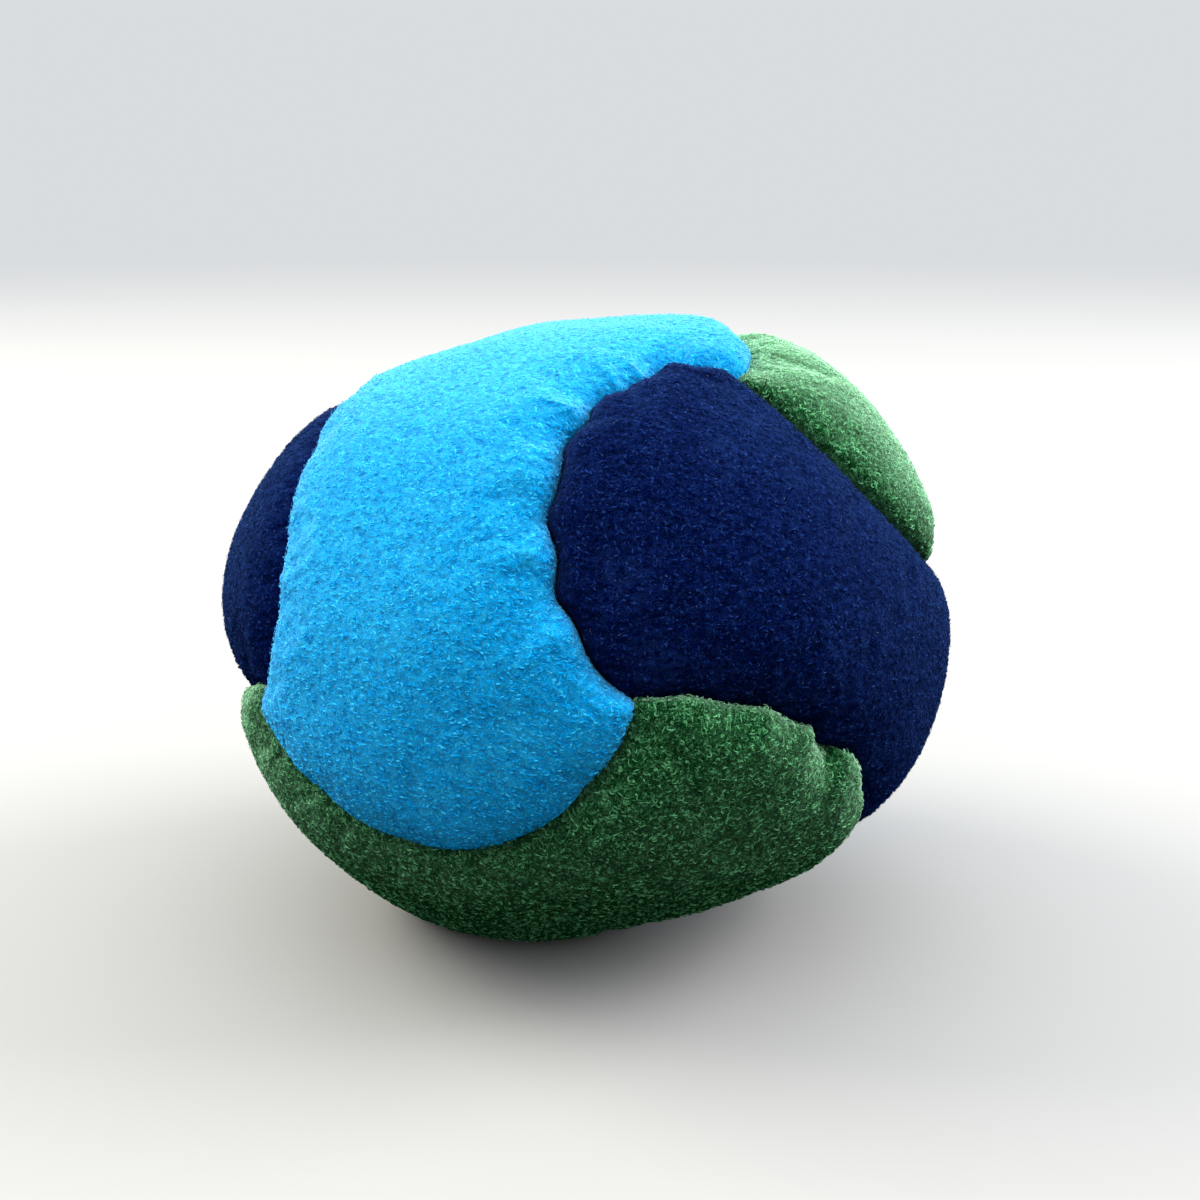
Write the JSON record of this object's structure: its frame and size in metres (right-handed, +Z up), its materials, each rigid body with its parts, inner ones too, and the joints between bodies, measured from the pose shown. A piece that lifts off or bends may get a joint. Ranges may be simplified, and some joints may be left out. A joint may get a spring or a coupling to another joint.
{
  "type": "juggling ball",
  "caption": "Round hand-sewn juggling ball of suede-like cloth panels, turned in and ladder-stitched round a loose pellet filling.",
  "frame": {"origin": "on the flat the ball has settled on, straight below the ball's centre", "axes": "+Z up from the flat it rests on, through the centre of the ball and along its shortest extent; the front, with the large cyan panel, faces -Y; +X to the right of the front"},
  "size_m": [0.0688, 0.0677, 0.0576],
  "materials": {
    "cyan_suede": "short-napped microsuede, cyan",
    "navy_suede": "short-napped microsuede, navy",
    "green_suede": "short-napped microsuede, bottle green",
    "thread": "twisted polyester sewing thread, dark blue",
    "pellets": "small round pellets, poured loose"
  },
  "bodies": {
    "root": {"panel_cyan_front": "cyan_suede", "panel_cyan_back": "cyan_suede", "panel_navy_right": "navy_suede", "panel_navy_left": "navy_suede", "panel_green_top": "green_suede", "panel_green_bottom": "green_suede", "thread_cyan_front_to_green_bottom": "thread", "thread_navy_right_to_cyan_front": "thread", "thread_green_bottom_to_navy_right": "thread", "thread_green_top_to_navy_right": "thread", "thread_navy_left_to_cyan_front": "thread", "thread_cyan_front_to_green_top": "thread", "thread_cyan_back_to_green_top": "thread", "thread_navy_left_to_cyan_back": "thread", "thread_green_top_to_navy_left": "thread", "thread_green_bottom_to_navy_left": "thread", "thread_navy_right_to_cyan_back": "thread", "thread_cyan_back_to_green_bottom": "thread", "pellet_filling": "pellets"}
  },
  "joints": []
}
